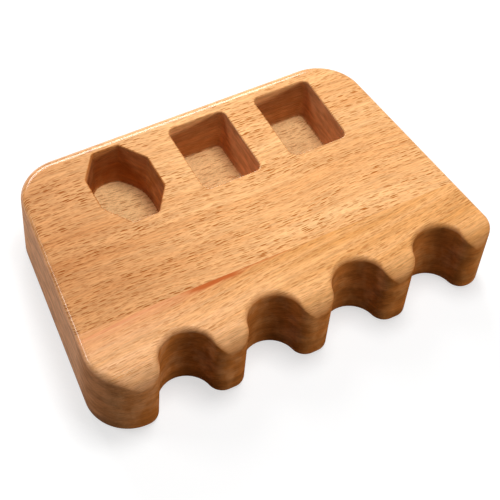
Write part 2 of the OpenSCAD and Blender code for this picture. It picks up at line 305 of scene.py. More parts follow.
class Plan:
    """The block's outline in plan, worked out from its sizes."""

    def __init__(self, block, notches):
        self.block, self.notches = block, notches
        self.sin, self.cos = math.sin(block.flare), math.cos(block.flare)
        self.flare = math.degrees(block.flare)
        self.depth = Y_BACK - Y_FRONT
        # The circles of a notch and of a tip touch, so their centres lie the sum of their
        # radii apart. The notch's centre is lead in front of the front edge
        lead = notches.radius - notches.depth
        tip_rise = notches.tip_r + lead
        self.notch_y = Y_FRONT - lead
        self.tip_dx = math.sqrt((notches.radius + notches.tip_r) ** 2 - tip_rise ** 2)
        self.tip_angle = math.degrees(math.asin(tip_rise / (notches.radius + notches.tip_r)))
        left = notches.left_finger_w - self.side_x(Y_FRONT)
        right = self.side_x(Y_FRONT) - notches.right_finger_w
        self.notch_xs = list(np.linspace(left, right, notches.count))

    def side_x(self, y):
        """Half the block's width at y: it grows in a straight line from the back."""
        return self.block.back_w / 2 + (Y_BACK - y) * math.tan(self.block.flare)

    def side_line(self, sign, y_from, y_to):
        """A straight side, from one y to another, ending in the glue line's plane. In front of the
        glue line the wall's darker colour, partly routed look and partly painted shade, grows
        towards the fingers."""
        y = np.linspace(y_from, y_to, SIDE_POINTS)
        rows = np.column_stack([
            sign * self.side_x(y), y, np.full_like(y, sign * self.cos),
            np.full_like(y, self.sin), np.full_like(y, self.block.edge_r),
            np.interp(y, [min(y_from, y_to, Y_SEAM - WELD), Y_SEAM],
                      [SHOULDER_CUT, SIDE_CUT])])
        at_seam = np.isclose(y, Y_SEAM)
        rows[at_seam, 2], rows[at_seam, 3] = sign / self.cos, 0
        return rows

    def rear_corner(self, sign):
        """The arc between the back and a side, tangent to both. Its edge rounding turns from
        the side's to the back's along it."""
        r = self.block.rear_corner_r
        x = self.block.back_w / 2 - r * (1 - self.sin) / self.cos
        rounds = (self.block.edge_r, self.block.rear_edge_r)
        if sign < 0:
            return arc(-x, Y_BACK - r, r, 180 - self.flare, 90, *rounds, 0, 0)
        return arc(x, Y_BACK - r, r, 90, self.flare, *rounds[::-1], 0, 0)

    def front_corner(self, sign):
        """The arc between a side and the front, tangent to both and no larger than the finger
        beside it leaves room for."""
        tip_x = (self.notch_xs[-1] if sign > 0 else -self.notch_xs[0]) + self.tip_dx
        room = self.depth * self.sin + (self.block.back_w / 2 - tip_x - TIP_FLAT) * self.cos
        r = min(self.block.front_corner_r, room / (1 + self.sin))
        x = self.block.back_w / 2 + ((self.depth - r) * self.sin - r) / self.cos
        rounds = (self.block.edge_r, self.notches.tip_edge_r)
        cuts = (SHOULDER_CUT, CORNER_CUT)
        if sign > 0:
            return arc(x, Y_FRONT + r, r, self.flare, -90, *rounds, *cuts)
        return arc(-x, Y_FRONT + r, r, -90, -180 - self.flare, *rounds[::-1], *cuts[::-1])

    def notch(self, x):
        """A notch with the two finger tips beside it, from right to left."""
        n = self.notches
        tip_y = Y_FRONT + n.tip_r
        return np.vstack([
            arc(x + self.tip_dx, tip_y, n.tip_r, -90, self.tip_angle - 180,
                n.tip_edge_r, n.edge_r, CORNER_CUT, NOTCH_CUT),
            arc(x, self.notch_y, n.radius, self.tip_angle, 180 - self.tip_angle,
                n.edge_r, n.edge_r, NOTCH_CUT, NOTCH_CUT, side=-1, trim=1),
            arc(x - self.tip_dx, tip_y, n.tip_r, -self.tip_angle, -90,
                n.edge_r, n.tip_edge_r, NOTCH_CUT, CORNER_CUT)])

    def rear_chain(self):
        """The rear stave's outline, clockwise from the left end of the glue line."""
        left, right = self.rear_corner(-1), self.rear_corner(1)
        return np.vstack([self.side_line(-1, Y_SEAM, left[0, 1])[:-1], left, right,
                          self.side_line(1, right[-1, 1], Y_SEAM)[1:]])

    def front_chain(self):
        """The front stave's outline, clockwise from the right end of the glue line."""
        right, left = self.front_corner(1), self.front_corner(-1)
        return np.vstack([self.side_line(1, Y_SEAM, right[0, 1])[:-1], right]
                         + [self.notch(x) for x in self.notch_xs[::-1]]
                         + [left, self.side_line(-1, left[-1, 1], Y_SEAM)[1:]])

    def drop(self, y):
        """How far the top's roll-over lies below the top at y: a quarter circle to the front."""
        r = self.block.roll_r
        run = np.clip(Y_FRONT + r - y, 0, r)
        return r - np.sqrt(r * r - run * run)


# ---------------------------------------------------------------- surfaces


class Shell:
    """Collects patches of one closed surface, then welds them into a mesh."""

    def __init__(self):
        self.points, self.faces, self.cuts, self.count = [], [], [], 0

    def add(self, points, faces, cut):
        """Adds points, the faces between them and how dark each is painted: routed wood and
        painted shade above zero, painted light below.
        """
        points = np.asarray(points, float)
        self.faces += [[i + self.count for i in face] for face in faces]
        self.points.append(points)
        self.cuts.append(np.broadcast_to(np.asarray(cut, float), len(points)))
        self.count += len(points)

    def grid(self, rows, cut, closed):
        """Quads over rows of points: rows is (levels, points along the outline, 3)."""
        levels, n = rows.shape[:2]
        i = np.arange(n if closed else n - 1)
        j = (i + 1) % n
        k = (np.arange(levels - 1) * n)[:, None]
        quads = np.stack([k + i, k + j, k + n + j, k + n + i], axis=-1).reshape(-1, 4)
        self.add(rows.reshape(-1, 3), quads.tolist(), np.asarray(cut).reshape(-1))

    def cap(self, ring, cut):
        """One flat face over a ring of points."""
        self.add(ring, [list(range(len(ring)))], cut)

    def mesh(self, name):
        """Welds the patches into a mesh whose faces point outwards."""
        mesh = bpy.data.meshes.new(name)
        mesh.from_pydata(np.vstack(self.points), [], self.faces)
        attribute = mesh.attributes.new("cut", "FLOAT", "POINT")
        attribute.data.foreach_set("value", np.concatenate(self.cuts))
        bm = bmesh.new()
        bm.from_mesh(mesh)
        bmesh.ops.remove_doubles(bm, verts=bm.verts, dist=WELD)
        bmesh.ops.dissolve_degenerate(bm, edges=bm.edges, dist=WELD / 2)
        bmesh.ops.recalc_face_normals(bm, faces=bm.faces)
        bm.to_mesh(mesh)
        bm.free()
        mesh.shade_smooth()
        mesh.set_sharp_from_angle(angle=SHARP_ANGLE)
        return mesh


def inside(points, loop):
    """Even-odd test of every point against a closed loop."""
    x, y = points[:, 0:1], points[:, 1:2]
    a, b = loop, np.roll(loop, -1, axis=0)
    crosses = (a[:, 1] > y) != (b[:, 1] > y)
    with np.errstate(divide="ignore", invalid="ignore"):
        at = a[:, 0] + (y - a[:, 1]) * (b[:, 0] - a[:, 0]) / (b[:, 1] - a[:, 1])
    return (crosses & (x < at)).sum(axis=1) % 2 == 1


def gap_to(points, loop):
    """Distance of every point to the nearest point of a loop."""
    return np.sqrt(((points[:, None] - loop[None]) ** 2).sum(axis=2)).min(axis=1)


def regions(faces, walls):
    """Numbers the triangles so that those joined by edges other than walls share a number."""
    number = list(range(len(faces)))

    def root(i):
        while number[i] != i:
            i = number[i]
        return i

    beside = {}
    for i, face in enumerate(faces):
        for a, b in zip(face, face[1:] + face[:1]):
            edge = frozenset((a, b))
            other = beside.setdefault(edge, i)
            if edge not in walls:
                number[root(i)] = root(other)
    return np.array([root(i) for i in range(len(faces))])


def filled(outer, holes, inner=None):
    """Triangles that fill the outer loop, leave out the holes and pass through the inner points.
    The loops part the triangles into regions, and each region stays or goes by its largest
    triangle, since slivers between points in line lie on no clear side. One made of slivers
    alone goes."""
    loops = [outer] + holes
    points = np.vstack(loops + ([inner] if inner is not None and len(inner) else []))
    edges, start = [], 0
    for loop in loops:
        index = np.arange(start, start + len(loop))
        edges += np.column_stack([index, np.roll(index, -1)]).tolist()
        start += len(loop)
    flat, sides, faces, _, sources, _ = delaunay_2d_cdt(
        [Vector(p) for p in points], edges, [], 0, FILL_TOLERANCE)
    region = regions(faces, {frozenset(side) for side, source in zip(sides, sources) if source})
    flat, faces = np.array([tuple(p) for p in flat]), np.array(faces)
    corners = flat[faces]
    u, v = corners[:, 1] - corners[:, 0], corners[:, 2] - corners[:, 0]
    area = np.abs(u[:, 0] * v[:, 1] - u[:, 1] * v[:, 0]) / 2
    middle = corners.mean(axis=1)
    stays = inside(middle, outer) & (area > SLIVER)
    for hole in holes:
        stays &= ~inside(middle, hole)
    by_area = np.argsort(area)
    largest = dict(zip(region[by_area], by_area))
    keep = np.array([stays[largest[number]] for number in region])
    return flat, faces[keep].tolist()


def rounded(corners, r, step=9.0, along=0.003):
    """A polygon that turns anticlockwise with its corners rounded to r, as rows
    [x, y, outward normal x, y]; straight stretches get a point about every `along`."""
    corners = np.asarray(corners, float)
    rows = []
    for before, p, after in zip(np.roll(corners, 1, axis=0), corners,
                                np.roll(corners, -1, axis=0)):
        u, v = (before - p) / np.linalg.norm(before - p), (after - p) / np.linalg.norm(after - p)
        half = math.acos(u @ v) / 2
        centre = p + (u + v) / np.linalg.norm(u + v) * r / math.sin(half)
        first, turn = math.atan2(u[0], -u[1]), math.pi - 2 * half
        a = first + turn * np.linspace(0, 1, int(math.ceil(math.degrees(turn) / step)) + 1)
        rows.append(np.column_stack([centre[0] + r * np.cos(a), centre[1] + r * np.sin(a),
                                     np.cos(a), np.sin(a)]))
    filled_rows = []
    for piece, following in zip(rows, rows[1:] + rows[:1]):
        span = np.linalg.norm(following[0, :2] - piece[-1, :2])
        t = np.linspace(0, 1, int(span / along) + 2)[1:-1, None]
        filled_rows += [piece, piece[-1] + (following[0] - piece[-1]) * t]
    return np.vstack(filled_rows)


def rectangle(w, l):
    """Corners of a w by l rectangle round the origin, anticlockwise."""
    return [(-w / 2, -l / 2), (w / 2, -l / 2), (w / 2, l / 2), (-w / 2, l / 2)]


def octagon(w, l):
    """Corners of a regular octagon stretched to w by l: each lies at a half size on one axis
    and at sqrt(2) - 1 of the half size on the other."""
    k = math.sqrt(2) - 1
    x, y = w / 2, l / 2
    return [(-x * k, -y), (x * k, -y), (x, -y * k), (x, y * k),
            (x * k, y), (-x * k, y), (-x, y * k), (-x, -y * k)]


def circle(r, count=72):
    """A circle round the origin, as rows [x, y, outward normal x, y]."""
    a = np.linspace(0, 2 * math.pi, count, endpoint=False)
    return np.column_stack([r * np.cos(a), r * np.sin(a), np.cos(a), np.sin(a)])


def sunk(shell, outline, centre, z_rim, z_floor, rim_r, floor_r, wall_cut_and_shading, floor_cut_and_shading,
         round_floor=0.0):
    """A recess from z_rim to z_floor: its outline carried down a profile of rounded rim, wall
    and fillet. round_floor blends the outline towards an ellipse as it nears the floor.
    Returns the loop where it meets the face around it."""
    up = 1 if z_rim > z_floor else -1
    depth = abs(z_rim - z_floor)
    a = np.radians(np.linspace(0, 90, RIM_POINTS))
    wall = np.linspace(rim_r, depth - floor_r, RECESS_WALL_POINTS)[1:-1]
    profile = np.vstack([
        [[rim_r + SHADING_RING, 0]],
        np.column_stack([rim_r * (1 - np.sin(a)), rim_r * (1 - np.cos(a))]),
        np.column_stack([np.zeros_like(wall), wall]),
        np.column_stack([-floor_r * (1 - np.cos(a)), depth - floor_r * (1 - np.sin(a))]),
        [[-floor_r - SHADING_RING, depth]]])
    xy, normal = outline[:, :2], outline[:, 2:4]
    half = np.abs(xy).max(axis=0)
    angle = np.arctan2(xy[:, 1] / half[1], xy[:, 0] / half[0])
    ellipse = np.column_stack([half[0] * np.cos(angle), half[1] * np.sin(angle)])
    part = np.clip(profile[:, 1] / depth, 0, 1)[:, None, None]
    share = round_floor * part ** FLOOR_BLEND
    ring = xy + (ellipse - xy) * share + normal * profile[:, 0][:, None, None] + centre
    z = np.broadcast_to((z_rim - up * profile[:, 1])[:, None, None], ring.shape[:2] + (1,))
    rows = np.concatenate([ring, z], axis=2)
    cut = np.full(len(profile), wall_cut_and_shading)
    cut[0], cut[1], cut[-1], cut[-2] = 0, RIM_SHARE * wall_cut_and_shading, floor_cut_and_shading, floor_cut_and_shading
    shell.grid(rows, np.broadcast_to(cut[:, None], rows.shape[:2]), closed=True)
    shell.cap(rows[-1], floor_cut_and_shading)
    return rows[0, :, :2]


def stave(plan, chain, recesses_above, recesses_below, curved_top):
    """One stave: its outline carried up a profile of rounded lower edge, wall and rounded top
    edge, a flat glue face, a top that rolls over at the front, and its recesses.
    The top edge and the roll-over blend as the cube root of the sum of their cubed drops."""
    shell = Shell()
    xy, normal = chain[:, :2], chain[:, 2:4]
    edge, cut = chain[:, 4], chain[:, 5]
    low_r = plan.block.foot_edge_r

    def ring(inset):
        return xy - normal * np.broadcast_to(inset, len(xy))[:, None]

    def height(points, drop):
        return Z_TOP - np.cbrt(drop ** 3 + plan.drop(points[:, 1]) ** 3)

    levels, level_cuts = [], []

    def level(points, z, share):
        levels.append(np.column_stack([points, np.broadcast_to(z, len(points))]))
        level_cuts.append(cut * share)

    level(ring(low_r + SHADING_RING), Z_WOOD, 0)
    for a in np.radians(np.linspace(0, 90, LOW_EDGE_POINTS)):
        level(ring(low_r * (1 - math.sin(a))), Z_WOOD + low_r * (1 - math.cos(a)),
              math.sin(a) ** CUT_FADE)
    wall_low, wall_high = Z_WOOD + low_r, height(xy, edge)
    for t in np.linspace(0, 1, WALL_POINTS)[1:-1]:
        level(xy, wall_low + (wall_high - wall_low) * t, 1)
    for a in np.radians(np.linspace(0, 90, TOP_EDGE_POINTS)):
        p = ring(edge * (1 - math.cos(a)))
        level(p, height(p, edge * (1 - math.sin(a))), (1 - math.sin(a)) ** CUT_FADE)
    p = ring(edge + SHADING_RING)
    level(p, height(p, 0), 0)
    rows = np.array(levels)
    shell.grid(rows, np.array(level_cuts), closed=False)
    shell.cap(np.vstack([rows[:, 0], rows[::-1, -1]]), 0)

    above = [sunk(shell, *recess) for recess in recesses_above]
    below = [sunk(shell, *recess) for recess in recesses_below]
    top, bottom = rows[-1, :, :2], rows[0, :, :2]
    inner = None
    if curved_top:
        xs = np.arange(top[:, 0].min(), top[:, 0].max(), FILL_STEP)
        ys = np.arange(Y_FRONT, Y_FRONT + plan.block.roll_r + 2 * FILL_STEP, FILL_STEP)
        inner = np.array(np.meshgrid(xs, ys)).reshape(2, -1).T
        inner = inner[inside(inner, top)]
        inner = inner[gap_to(inner, top) > FILL_GAP]
    flat, faces = filled(top, above, inner)
    shell.add(np.column_stack([flat, height(flat, 0)]), faces, 0)
    flat, faces = filled(bottom, below)
    shell.add(np.column_stack([flat, np.full(len(flat), Z_WOOD)]), faces, 0)
    return shell


def pockets(sizes):
    """The three chalk pockets, as arguments for sunk()."""
    y = Y_BACK - sizes.from_back
    square = rounded(rectangle(sizes.width, sizes.length), sizes.corner_r)
    eight = rounded(octagon(sizes.octagon_w, sizes.octagon_l), sizes.octagon_corner_r)
    shared = (Z_TOP, Z_TOP - sizes.depth, sizes.rim_r, sizes.floor_r)
    return [
        (eight, (sizes.middle_x - sizes.pitch, y), *shared, OCTAGON_CUT, FLOOR_PAINTED_LIGHT,
         FLOOR_ROUNDNESS),
        (square, (sizes.middle_x, y), *shared, SQUARE_CUT, FLOOR_PAINTED_LIGHT),
        (square, (sizes.middle_x + sizes.pitch, y), *shared, SQUARE_CUT, FLOOR_PAINTED_LIGHT)]


def let_in(sizes, bars, feet):
    """The recesses under the block for its ballast bars and feet, as arguments for sunk()."""
    recesses = []
    for node, gap, is_round in [(bar, sizes.bar_clearance, False) for bar in bars] + [
            (foot, sizes.foot_clearance, True) for foot in feet]:
        low, high = (np.array(corner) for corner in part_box(node))
        span, centre = high - low, tuple((low + high)[:2] / 2)
        outline = circle(span[0] / 2 + gap) if is_round else rounded(
            rectangle(span[0] + 2 * gap, span[1] + 2 * gap), sizes.bar_corner_r + gap)
        recesses.append((outline, centre, Z_WOOD, high[2], RECESS_EDGE, RECESS_EDGE,
                         RECESS_CUT, RECESS_FLOOR_CUT))
    return recesses


def new_piece(name, mesh, material, node):
    """A mesh with its finish, which rides on the block in place of a CAD node's solid."""
    piece = bpy.data.objects.new(name, mesh)
    bpy.context.scene.collection.objects.link(piece)
    mesh.materials.append(material)
    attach(piece, "root")
    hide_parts(node)
    return piece


# ---------------------------------------------------------------- materials

# Cells of noise to the metre along X, Y and Z. A board's grain runs along X
WANDER_CELLS = (11, 16, 14)
BROAD_CELLS = (6, 40, 26)
BAND_CELLS = (9, 260, 120)
FIBRE_CELLS = (170, 1900, 1500)
RIPPLE_CELLS = (62, 640, 420)
CLUSTER_CELLS = (24, 150, 60)
RING_CELLS = (25, 120, 420)
SPECKLE_CELLS = (1500, 1900, 1500)
PATCH_CELLS = (180, 180, 130)
RAGGED_CELLS = (120, 900, 300)
STRIPE_CELLS = (14, 620, 200)
WANDER = (0.0, 0.010, 0.008)   # how far the grain wanders, in metres
LARGE_FLECK, SMALL_FLECK = (0.0062, 0.00098), (0.0034, 0.00078)   # length and width of a field
FLECK_HIGHLIGHT = (0, -0.36, 0)      # where a fleck's painted highlight lies, in widths of its field
# Where along X a board's tone starts and stops changing, and each board's tint at either end
TINT_FROM, TINT_TO = -0.075, 0.015
REAR_TINTS = ((0.66, 0.56, 0.56), (0.93, 0.93, 1.05))
FRONT_TINTS = ((0.84, 0.82, 0.87), (0.82, 0.75, 0.63))
# The mineral streak: the x of its core's and its tail's middle and how far each reaches at full
# strength and in all, then where in front of the glue line each starts and stops fading
CORE_REACH, CORE_FADE = (-0.0245, 0.006, 0.0150), (0.0011, 0.0025)
TAIL_REACH, TAIL_FADE = (-0.008, 0.008, 0.022), (0.0002, 0.0010)
# Its stain fades in the same way, on a line that slopes to the glue line, and along X
STAIN_SLOPE, STAIN_FADE, STAIN_REACH = 0.09, (-0.0042, 0.0062), (-0.07, 0.022)
RAGGEDNESS = 0.0016      # how far its edges wander
FIBRE_DEPTH, PEBBLE_DEPTH, LINE_DEPTH = 0.00009, 0.00006, 0.00002


class Nodes:
    """Builds the node tree of one material."""

    def __init__(self, name):
        self.material = bpy.data.materials.new(name)
        self.material.use_nodes = True
        self.tree = self.material.node_tree
        self.tree.nodes.clear()
        self.shader = self.add("ShaderNodeBsdfPrincipled")
        output = self.add("ShaderNodeOutputMaterial")
        self.tree.links.new(self.shader.outputs[0], output.inputs["Surface"])

    def add(self, kind, **settings):
        """A new node with its settings."""
        node = self.tree.nodes.new(kind)
        for key, value in settings.items():
            setattr(node, key, value)
        return node

    def put(self, node, **values):
        """Joins sockets to others, or sets them to plain values; a socket's name is given with
        its spaces as underscores."""
        for socket, value in values.items():
            self.join(node.inputs[socket.replace("_", " ")], value)

    def join(self, socket, value):
        """Joins a socket to another, or sets it to a plain value."""
        if isinstance(value, bpy.types.NodeSocket):
            self.tree.links.new(value, socket)
        else:
            socket.default_value = value

    def finish(self, **values):
        """Sets the shader's sockets and returns the material."""
        self.put(self.shader, **values)
        return self.material

    def place(self):
        """A point's place on the finished piece, in metres."""
        return self.add("ShaderNodeTexCoord").outputs["Object"]

    def axes(self, vector):
        """The X, Y and Z of a vector."""
        node = self.add("ShaderNodeSeparateXYZ")
        self.join(node.inputs[0], vector)
        return tuple(node.outputs)

    def math(self, operation, *values, clamp=False):
        node = self.add("ShaderNodeMath", operation=operation, use_clamp=clamp)
        for index, value in enumerate(values):
            self.join(node.inputs[index], value)
        return node.outputs[0]

    def times(self, a, b, clamp=False):
        return self.math("MULTIPLY", a, b, clamp=clamp)

    def scaled(self, vector, scale, shift=(0, 0, 0), turn=(0, 0, 0)):
        """The vector scaled, then turned, then shifted."""
        node = self.add("ShaderNodeMapping")
        self.put(node, Vector=vector, Scale=scale, Location=shift, Rotation=turn)
        return node.outputs[0]

    def noise(self, vector, cells, detail=2.0, roughness=0.5, shift=(0, 0, 0), output="Fac"):
        """Smooth noise with so many cells to the metre along each axis."""
        node = self.add("ShaderNodeTexNoise")
        self.put(node, Vector=self.scaled(vector, cells, shift), Scale=1.0, Detail=detail,
                 Roughness=roughness)
        return node.outputs[output]

    def step(self, value, low, high, to_low=0.0, to_high=1.0):
        """An S-curve from to_low where the value is low to to_high where it is high."""
        node = self.add("ShaderNodeMapRange", interpolation_type="SMOOTHSTEP", clamp=True)
        self.put(node, Value=value, From_Min=low, From_Max=high, To_Min=to_low, To_Max=to_high)
        return node.outputs[0]

    def near(self, value, centre, inner, outer):
        """1 within the inner distance of the centre, falling to 0 at the outer one."""
        return self.step(self.math("ABSOLUTE", self.math("SUBTRACT", value, centre)),
                         inner, outer, 1, 0)

    def mix(self, factor, a, b, blend="MIX"):
        """Colour a blended with colour b, each a socket or plain red, green and blue."""
        node = self.add("ShaderNodeMix", data_type="RGBA", blend_type=blend)
        self.put(node, Factor=factor)
        for socket, value in ((6, a), (7, b)):
            if not isinstance(value, bpy.types.NodeSocket):
                value = (*value, 1.0)
            self.join(node.inputs[socket], value)
        return node.outputs[2]

    def shaded(self, colour, value, low, high, to_low, to_high, share=1.0):
        """The colour times a grey that goes from to_low to to_high as the value rises."""
        grey = self.add("ShaderNodeCombineColor")
        level = self.step(value, low, high, to_low, to_high)
        for socket in grey.inputs:
            self.join(socket, level)
        return self.mix(share, colour, grey.outputs[0], "MULTIPLY")

    def bump(self, height, distance, strength):
        """Shading normals of a relief that is distance metres deep."""
        node = self.add("ShaderNodeBump")
        self.put(node, Height=height, Distance=distance, Strength=strength)
        return node.outputs[0]


def fleck_mask(nodes, sheet, field, low, high, shift=(0, 0, 0)):
    """Short dashes: stretched cells whose middles are dark, each as strong as its cell's
    own random grey says. The field is the length and the width of one cell."""
    cells = nodes.add("ShaderNodeTexVoronoi", feature="F1", voronoi_dimensions="2D")
    nodes.put(cells, Vector=nodes.scaled(sheet, (1 / field[0], 1 / field[1], 1), shift),
              Scale=1.0)
    dash = nodes.step(cells.outputs["Distance"], low, high, 1.0, 0.0)
    strength = nodes.add("ShaderNodeSeparateColor")
    nodes.put(strength, Color=cells.outputs["Color"])
    return nodes.times(dash, nodes.step(strength.outputs[0], 0.0, 0.6, 0.3, 1.0))


def ray_flecks(nodes, grain, ripple):
    """Dense short dashes of two sizes, stronger in some rows than in others, and painted
    highlights beside them where a raised fleck's edge would catch the light. The fall from the top
    adds to the distance forwards or, at the back, backwards, so that the dashes run on over the
    edges and down the front and the back."""
    _, y, z = nodes.axes(nodes.place())
    along, across, _ = nodes.axes(grain)
    forwards = nodes.step(y, Y_SEAM, REAR_WALL, 1.0, -1.0)
    sheet = nodes.add("ShaderNodeCombineXYZ")
    nodes.put(sheet, X=along, Y=nodes.math("MULTIPLY_ADD", nodes.math("SUBTRACT", z, Z_TOP),
                                           forwards, across))
    sheet = sheet.outputs[0]
    clusters = nodes.step(nodes.noise(grain, CLUSTER_CELLS, shift=(0, 7, 0)),
                          0.34, 0.60, 0.5, 1.0)
    large = fleck_mask(nodes, sheet, LARGE_FLECK, 0.17, 0.33)
    small = fleck_mask(nodes, sheet, SMALL_FLECK, 0.15, 0.31, (5.3, 2.1, 0))
    dashes = nodes.times(clusters, nodes.math("MAXIMUM", large, nodes.times(0.6, small)))
    dashes = nodes.times(dashes, nodes.step(ripple, 0.42, 0.66, 1.0, 0.6))
    # Painted highlight: a pale rim beside each large fleck
    painted_fleck_highlights = nodes.times(clusters, fleck_mask(nodes, sheet, LARGE_FLECK, 0.16, 0.40, FLECK_HIGHLIGHT))
    return dashes, painted_fleck_highlights


def mineral_streak(nodes, grain, colour, look):
    """A reddish streak along the glue line: a short dark core, a thin tail to the right and a
    pink stain that spreads to the left."""
    x, y, _ = nodes.axes(nodes.place())
    ragged = nodes.times(nodes.math("SUBTRACT", nodes.noise(grain, RAGGED_CELLS), 0.5),
                         RAGGEDNESS)
    depth = nodes.math("ADD", nodes.math("SUBTRACT", Y_SEAM, y), ragged)
    core = nodes.times(nodes.near(x, *CORE_REACH), nodes.step(depth, *CORE_FADE, 1, 0))
    tail = nodes.times(nodes.near(x, *TAIL_REACH), nodes.step(depth, *TAIL_FADE, 0.5, 0))
    slope = nodes.math("MULTIPLY_ADD", x, STAIN_SLOPE, depth)
    spread = nodes.times(nodes.step(slope, *STAIN_FADE, 1, 0),
                         nodes.step(x, *STAIN_REACH, 1, 0))
    stripes = nodes.step(nodes.noise(grain, STRIPE_CELLS, shift=(0.6, 0, 0)), 0.42, 0.66)
    stain = nodes.times(spread, nodes.math("MULTIPLY_ADD", stripes, 0.5, 0.3))
    colour = nodes.mix(nodes.times(stain, 0.75), colour, look.stain)
    return nodes.mix(nodes.math("MAXIMUM", nodes.times(core, 0.9), tail), colour, look.streak)


def beech(name, look, pale, tints, shift, turn, flecks, with_streak):
    """Lacquered beech: growth bands along X, fine fibres, ray flecks with painted highlights
    beside them, duller end grain on the outer sides, routed walls darkened partly for their end
    grain and partly as painted shade, and pocket floors painted paler as painted light."""
    nodes = Nodes(name)
    place = nodes.scaled(nodes.place(), (1, 1, 1), shift, turn)
    wandering = nodes.add("ShaderNodeVectorMath", operation="MULTIPLY_ADD")
    sideways = nodes.noise(place, WANDER_CELLS, 1.5, output="Color")
    for socket, value in zip(wandering.inputs, (sideways, WANDER, place)):
        nodes.join(socket, value)
    grain = wandering.outputs[0]

    broad = nodes.noise(grain, BROAD_CELLS, shift=(3.1, 0.4, 0))
    bands = nodes.noise(grain, BAND_CELLS, 3.0, 0.6)
    band = nodes.step(nodes.math("ADD", nodes.times(bands, 0.45), nodes.times(broad, 0.55)),
                      0.32, 0.68)
    fibres = nodes.noise(grain, FIBRE_CELLS, 2.0, 0.6)
    ripple = nodes.noise(grain, RIPPLE_CELLS, shift=(0, 3.3, 0))
    dashes, painted_fleck_highlights = ray_flecks(nodes, grain, ripple)
    facing = nodes.axes(nodes.add("ShaderNodeNewGeometry").outputs["Normal"])
    endwise, upright = (nodes.math("ABSOLUTE", facing[axis]) for axis in (0, 2))
    # How dark each point is painted: routed wood and painted shade above zero, painted light on
    # the pocket floors below zero
    cut = nodes.add("ShaderNodeAttribute", attribute_name="cut").outputs["Fac"]
    on_floor = nodes.times(cut, -1.0, clamp=True)

    # Planed wood
    colour = nodes.mix(band, pale, look.warm)
    colour = nodes.shaded(colour, fibres, 0.25, 0.75, 0.62, 1.28, 0.45)
    colour = nodes.shaded(colour, ripple, 0.3, 0.7, 0.91, 1.07)
    # Painted highlights beside the flecks
    colour = nodes.mix(nodes.times(painted_fleck_highlights, 0.34 * flecks), colour,
                       [min(1.0, 1.3 * c) for c in pale])
    colour = nodes.mix(nodes.times(dashes, nodes.step(upright, 0.1, 0.8, 0.3 * flecks, flecks)),
                       colour, look.fleck)
    x = nodes.math("SUBTRACT", nodes.axes(place)[0], shift[0])
    colour = nodes.mix(1.0, colour, nodes.mix(nodes.step(x, TINT_FROM, TINT_TO), *tints),
                       "MULTIPLY")
    if with_streak:
        colour = mineral_streak(nodes, grain, colour, look)

    # End grain on the outer sides, pocket floors painted paler as painted light, and routed walls
    # darkened partly for their end grain and partly as painted shade
    rings = nodes.noise(grain, RING_CELLS, 2.0, 0.6)
    side = nodes.shaded(look.side, rings, 0.3, 0.7, 0.8, 1.15)
    colour = nodes.mix(nodes.times(nodes.step(endwise, 0.55, 0.95),
                                   nodes.step(upright, 0.35, 0.75, 1, 0)), colour, side)
    # Pocket floors: a paler colour than the top, as painted light, with a fine speckle and the
    # flecks
    speckle = nodes.noise(place, SPECKLE_CELLS, 1.0)
    bottom = nodes.shaded(look.bottom, speckle, 0.3, 0.7, 0.9, 1.06)
    bottom = nodes.shaded(bottom, band, 0.0, 1.0, 1.06, 0.86)
    bottom = nodes.mix(nodes.times(dashes, 0.75), bottom, look.fleck)
    colour = nodes.mix(on_floor, colour, bottom)
    # Routed walls: darker end grain with painted shade laid in, spread over the walls a little
    # patchily
    routed_and_shade = nodes.shaded(look.routed_and_shade, rings, 0.3, 0.7, 0.8, 1.15)
    routed_and_shade = nodes.shaded(routed_and_shade, band, 0.0, 1.0, 1.2, 0.82)
    routed_and_shade = nodes.mix(nodes.times(dashes, 0.5), routed_and_shade, [0.4 * c for c in look.routed_and_shade])
    patchy = nodes.step(nodes.noise(place, PATCH_CELLS, 3.0), 0.3, 0.7, -0.2, 0.1)
    routed_and_shade_share = nodes.times(cut, nodes.math("ADD", 1.0, patchy), clamp=True)
    colour = nodes.mix(routed_and_shade_share, colour, routed_and_shade)

    unrouted = nodes.math("SUBTRACT", 1.0, nodes.times(cut, 1.1, clamp=True))
    relief = nodes.times(nodes.math("SUBTRACT", fibres, dashes), 0.5)
    relief = nodes.math("ADD", relief, nodes.times(speckle, nodes.times(on_floor, 1.4)))
    return nodes.finish(
        Base_Color=colour,
        Roughness=nodes.math("ADD", nodes.step(fibres, 0.2, 0.8, 0.36, 0.5),
                             nodes.times(cut, 0.12)),
        Specular_IOR_Level=0.0,
        Coat_Weight=nodes.times(nodes.step(upright, 0.2, 0.7, 0.1, 0.8), unrouted),
        Coat_Roughness=0.19,
        Coat_IOR=1.48,
        Normal=nodes.bump(relief, FIBRE_DEPTH, 0.35))


def brushed_steel(name, colour, roughness, along):
    """Drawn metal: fine lines along one axis, X being 0, in colour, gloss and relief."""
    nodes = Nodes(name)
    place = nodes.place()
    lines = nodes.noise(place, tuple(14 if axis == along else 2600 for axis in range(3)))
    marks = nodes.noise(place, (160, 160, 160), 3.0, 0.6)
    return nodes.finish(
        Base_Color=nodes.shaded(colour, lines, 0.25, 0.75, 0.82, 1.1),
        Metallic=1.0,
        Roughness=nodes.math("ADD", nodes.step(lines, 0.2, 0.8, roughness - 0.08,
                                               roughness + 0.08),
                             nodes.step(marks, 0.4, 0.7, -0.03, 0.06)),
        Normal=nodes.bump(lines, LINE_DEPTH, 0.25))


